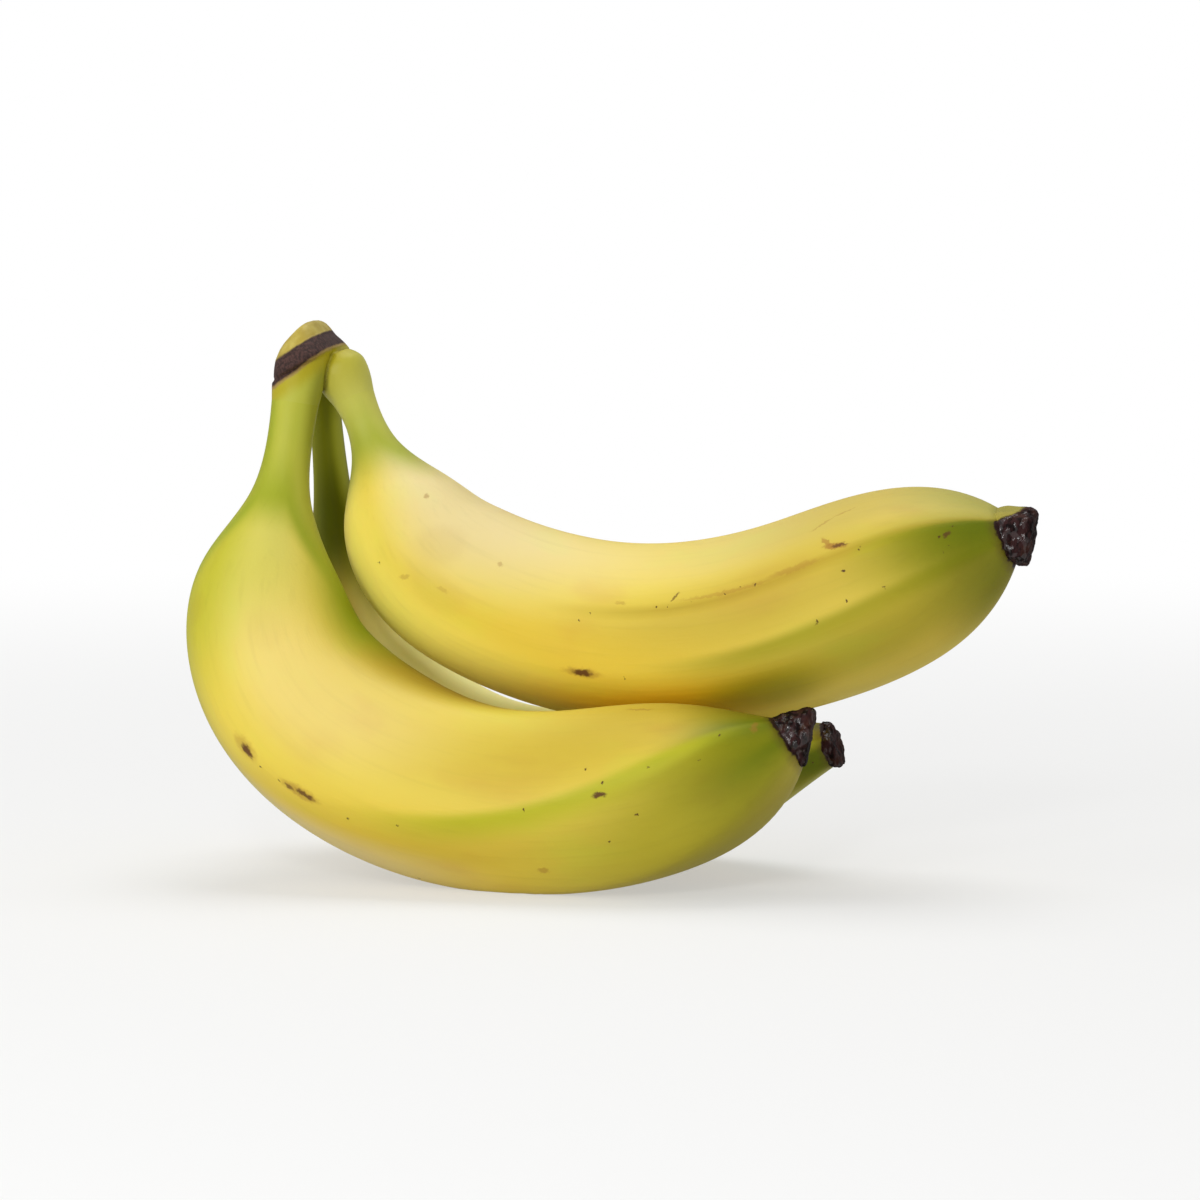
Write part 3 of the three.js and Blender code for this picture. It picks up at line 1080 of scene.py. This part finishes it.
def blackened(tree, side, colour, straight, along, around):
    """The black that creeps from the dried blossom over the end of the peel, with a brown halo."""
    left = less(tree, lengths[side] / MM, along)
    ragged = noise(tree, straight, scale=700, detail=3)
    edge = maths(tree, "ADD", left, multiplied(tree, less(tree, ragged, 0.5), RAGGED))
    if side in LIP_CLEAR:
        low, high = LIP_CLEAR[side]
        past_low = fade(tree, around, low, low + LIP_SOFT)
        before_high = fade(tree, around, high, high - LIP_SOFT)
        on_lip = multiplied(tree, past_low, before_high)
        edge = maths(tree, "MULTIPLY_ADD", on_lip, LIP_LENGTH, edge)
    colour = blend(tree, multiplied(tree, fade(tree, edge, *HALO_EDGE), 0.5), colour, HALO)
    return blend(tree, fade(tree, edge, *BLACK_EDGE), colour, BLACKENED)


def jittered(tree, straight):
    """The straight space shaken by a fine noise, so that what is drawn in it has a broken edge."""
    inputs = {"Vector": straight, "Scale": 1100, "Detail": 2}
    shaken = node(tree, "ShaderNodeTexNoise", inputs).outputs["Color"]
    inputs = {0: shaken, 1: (0.5, 0.5, 0.5)}
    centred = node(tree, "ShaderNodeVectorMath", inputs, operation="SUBTRACT").outputs[0]
    inputs = {0: centred, 1: JITTER, 2: straight}
    return node(tree, "ShaderNodeVectorMath", inputs, operation="MULTIPLY_ADD").outputs[0]


# %% Peel finish
# How fine each noise is for each metre, along the finger and across it.
FIBRES = (30, 800, 800)
DRIFTS = (40, 90, 90)
PORES = 1600
# How high each stands out.
DRIFT_HEIGHT = 0.8 * MM
FIBRE_HEIGHT = 0.1 * MM
PORE_HEIGHT = 0.04 * MM


def peel(side):
    material, tree, shader = new_finish(f"peel_{side}", 0.5, 0.16)
    straight, form = attribute(tree, "straight"), attribute(tree, "form")
    along, around = split(tree, form)[:2]
    fibres = noise(tree, scaled(tree, straight, FIBRES), detail=3)
    drift = noise(tree, scaled(tree, straight, DRIFTS), detail=3)
    pores = noise(tree, straight, scale=PORES)

    colour = clouded(tree, attribute(tree, "paint", "Color"), drift, fibres)
    colour = blackened(tree, side, colour, straight, along, around)
    broken = jittered(tree, straight)
    colour = bruised(tree, side, colour, broken)
    colour = speckled(tree, side, colour, broken)
    colour = far_specks(tree, colour, form, around)
    tree.links.new(colour, shader.inputs["Base Color"])

    shine = node(tree, "ShaderNodeMapRange", {"Value": drift, "To Min": 0.42, "To Max": 0.56})
    tree.links.new(shine.outputs[0], shader.inputs["Roughness"])
    shader.inputs["Subsurface Weight"].default_value = 0.1
    shader.inputs["Subsurface Radius"].default_value = (0.6, 0.4, 0.12)
    shader.inputs["Subsurface Scale"].default_value = 2 * MM
    lows = bump(tree, drift, DRIFT_HEIGHT, 0.4)
    lines = bump(tree, fibres, FIBRE_HEIGHT, 0.5, lows)
    tree.links.new(bump(tree, pores, PORE_HEIGHT, 0.5, lines), shader.inputs["Normal"])
    return material


for side, body in fingers.items():
    body.data.materials.append(peel(side))
print("peel:", {s: len(b.data.materials[0].node_tree.nodes) for s, b in fingers.items()}, "nodes")

# %% [markdown]
# ## The crown's finish
# Three bands by height over the tilted base: the necks below, the brown dried skin, and the olive
# pad on top. The necks' part takes its paint from the nearest point of the fingers, so that the crown
# and the fingers meet without a line. Where two fingers meet, the skin sinks into a seam, and shade is
# painted into it. A thin pinkish edge shows where the dried skin begins.

# %% The crown's paint and seams
BAND_BROWN = tint(80, 55, 50)
BAND_DARK = tint(52, 36, 32)
BAND_EDGE = tint(146, 112, 84)
PAD_OLIVE = tint(166, 144, 54)
PAD_PALE = tint(190, 172, 84)
UNDER_BAND = tint(172, 160, 30)
# The colour and strength of the shade painted into the seams between fingers.
PAINTED_SEAM_SHADE = tint(110, 102, 14)
PAINTED_SEAM_SHADE_STRENGTH = 0.8
SEAM_WIDTH = 1.0 * MM
SEAM_DEPTH = 0.35 * MM


def nearest_on(side, points):
    """For each point, the nearest vertex of a finger and how far off its skin is."""
    body = fingers[side].data
    tree = KDTree(len(body.vertices))
    for vertex in body.vertices:
        tree.insert(vertex.co, vertex.index)
    tree.balance()
    places = [v.co for v in body.vertices]
    skin = BVHTree.FromPolygons(places, [p.vertices for p in body.polygons])
    return (np.array([tree.find(point)[1] for point in points]),
            np.array([skin.find_nearest(point)[3] for point in points]))


def paint_from_fingers(piece):
    """The nearest finger's paint for each vertex, and a sunk seam with painted shade between two
    fingers.
    """
    points = coordinates(piece)
    normals = np.array([v.normal for v in piece.data.vertices])
    indices, distances = zip(*(nearest_on(side, points) for side in FINGERS))
    colours = np.array([paints[side][i] for side, i in zip(FINGERS, indices)])
    paint = colours[np.argmin(distances, axis=0), np.arange(len(points))]
    first, second = np.sort(distances, axis=0)[:2]
    seam = 1 - smoothstep(second - first, 0, SEAM_WIDTH)
    seam *= 1 - smoothstep(second, SEAM_WIDTH, 2 * SEAM_WIDTH)
    set_coordinates(piece, points - (SEAM_DEPTH * seam)[:, None] * normals)
    # Painted shade in the seam.
    lay(paint, PAINTED_SEAM_SHADE, PAINTED_SEAM_SHADE_STRENGTH * seam)
    keep(piece, "paint", paint, "FLOAT_COLOR")


# %% Crown finish
# The band lies a little askew on the crown: its height in mm at the middle, and how much it rises
# for each mm across and back. It narrows from below towards the third neck, and its edges wander.
BAND_LEVEL = (0.36, 0.083, 0.072)
BAND_NARROWS = 0.08
BAND_WANDERS = 0.5
# Heights in mm over that level, between which one part of the finish gives way to the next. The
# grain of the dried skin rises and falls between the last two pairs.
NECKS_TO_YELLOW = (-4.2, -1.2)
YELLOW_TO_EDGE = (-0.7, -0.05)
EDGE_TO_BAND = (-0.1, 0.4)
BAND_TO_PAD = (3.95, 4.45)
DRIED_FROM, DRIED_TO = (-0.3, 0.3), (4.5, 4.0)


def band_heights(tree, level):
    """The height over the band's level, and the same with the band narrowed from below."""
    across, deep, height = split(tree, level)
    middle, rise_across, rise_back = BAND_LEVEL
    askew = maths(tree, "MULTIPLY_ADD", deep, rise_back, middle)
    askew = maths(tree, "MULTIPLY_ADD", across, rise_across, askew)
    wander = multiplied(tree, less(tree, noise(tree, level, 0.6, 3), 0.5), BAND_WANDERS)
    edge = maths(tree, "ADD", less(tree, height, askew), wander)
    narrowing = multiplied(tree, maths(tree, "MAXIMUM", across, 0), BAND_NARROWS)
    return edge, less(tree, edge, narrowing)


def crown_finish():
    material, tree, shader = new_finish("crown_skin", 0.6, 0.3)
    inputs = {
        "Vector": object_coordinates(tree), "Location": CROWN_BASE,
        "Rotation": (0, -CROWN_TILT, 0), "Scale": (MM, MM, MM),
    }
    level = node(tree, "ShaderNodeMapping", inputs, vector_type="TEXTURE").outputs[0]
    edge, foot = band_heights(tree, level)
    grain = noise(tree, scaled(tree, level, (2.0, 2.0, 1.1)), detail=4, roughness=0.6)
    mottle = noise(tree, level, 0.35, 3)

    brown = blend(tree, fade(tree, grain, 0.38, 0.66), BAND_DARK, BAND_BROWN)
    pad = blend(tree, fade(tree, mottle, 0.3, 0.75), PAD_OLIVE, PAD_PALE)
    necks = attribute(tree, "paint", "Color")
    colour = blend(tree, fade(tree, foot, *NECKS_TO_YELLOW), necks, UNDER_BAND)
    pink = multiplied(tree, fade(tree, foot, *YELLOW_TO_EDGE), 0.7)
    colour = blend(tree, pink, colour, BAND_EDGE)
    colour = blend(tree, fade(tree, foot, *EDGE_TO_BAND), colour, brown)
    colour = blend(tree, fade(tree, edge, *BAND_TO_PAD), colour, pad)
    tree.links.new(colour, shader.inputs["Base Color"])

    dried = multiplied(tree, fade(tree, edge, *DRIED_FROM), fade(tree, edge, *DRIED_TO))
    rough = node(tree, "ShaderNodeMapRange", {"Value": dried, "To Min": 0.5, "To Max": 0.72})
    tree.links.new(rough.outputs[0], shader.inputs["Roughness"])
    soft = bump(tree, mottle, 0.4 * MM, 0.4)
    relief = bump(tree, multiplied(tree, grain, dried), 0.35 * MM, 0.8, soft)
    tree.links.new(relief, shader.inputs["Normal"])
    return material


paint_from_fingers(crown)
crown.data.materials.clear()
crown.data.materials.append(crown_finish())
print("crown:", len(crown.data.materials[0].node_tree.nodes), "nodes")

# %% [markdown]
# ## The dried blossom's finish
# Nearly black, with purple-brown lights. It's matt, but a thin lacquer of dried sap shines on parts
# of it, so a coat is laid over it in patches, and glints on the wrinkles that face the eye. The lip
# of peel on the upper stub takes the paint of the peel beside it, darkened a little towards brown.

# %% Blossom finish
DRY_BLACK = tint(24, 16, 16)
DRY_PURPLE = tint(56, 36, 36)
DRY_BROWN = tint(70, 44, 36)
# How much the lip's colour is darkened towards brown, and how far inside the lip the peel's paint
# begins and is full.
LIP_BROWNED = 0.3
LIP_EDGE = (0.04, 0.16)
# How fine each noise is for each metre, across and up, and how high the wrinkles stand out.
WRINKLE_FINENESS = (800, 800, 260)
WET_FINENESS = (900, 900, 450)
WRINKLE_HEIGHT = 0.8 * MM


def blossom_finish():
    material, tree, shader = new_finish("dried_blossom", 0.6, 0.06)
    spot = object_coordinates(tree)
    lip = split(tree, attribute(tree, "form"))[1]
    wrinkles = noise(tree, scaled(tree, spot, WRINKLE_FINENESS), detail=3, roughness=0.55)
    patches = noise(tree, spot, 320, 3)
    wet = noise(tree, scaled(tree, spot, WET_FINENESS), detail=1)

    colour = blend(tree, fade(tree, wrinkles, 0.42, 0.6), DRY_BLACK, DRY_PURPLE)
    brown = multiplied(tree, fade(tree, patches, 0.5, 0.66), 0.6)
    colour = blend(tree, brown, colour, DRY_BROWN)
    uneven_lip = maths(tree, "ADD", lip, multiplied(tree, wrinkles, 0.2))
    covered = fade(tree, uneven_lip, *LIP_EDGE)
    lip_colour = blend(tree, LIP_BROWNED, attribute(tree, "paint", "Color"), DRY_BROWN)
    colour = blend(tree, covered, colour, lip_colour)
    tree.links.new(colour, shader.inputs["Base Color"])

    bare = less(tree, 1, covered)
    relief = bump(tree, multiplied(tree, wrinkles, bare), WRINKLE_HEIGHT, 0.8)
    inputs = {"Blend": 0.5, "Normal": relief}
    edge_on = node(tree, "ShaderNodeLayerWeight", inputs).outputs["Facing"]
    sap = multiplied(tree, fade(tree, wet, 0.48, 0.56), fade(tree, edge_on, 0.6, 0.35))
    tree.links.new(multiplied(tree, sap, bare), shader.inputs["Coat Weight"])
    shader.inputs["Coat Roughness"].default_value = 0.06
    tree.links.new(relief, shader.inputs["Normal"])
    tree.links.new(relief, shader.inputs["Coat Normal"])
    return material


dried_blossom = blossom_finish()
for side, stub in blossom_ends.items():
    nearest = nearest_on(side, coordinates(stub))[0]
    keep(stub, "paint", paints[side][nearest], "FLOAT_COLOR")
    stub.data.materials.append(dried_blossom)
print("dried blossom:", len(dried_blossom.node_tree.nodes), "nodes")

# %% [markdown]
# ## Joining the construction
# Every piece is carried by the bunch's root body, and the solid of the construction that it stands
# for is hidden. The spines have done their work and go.

# %% Riding and replacing
for side in FINGERS:
    fingers[side].name = f"peeled_skin_{side}"
    for piece, node_name, slot in (
        (fingers[side], f"banana_{side}", "peel"),
        (blossom_ends[side], f"blossom_end_{side}", "dried_blossom"),
    ):
        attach(piece, "root")
        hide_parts(node_name)
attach(crown, "root")
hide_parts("crown")
for spine in spines.values():
    bpy.data.objects.remove(spine)
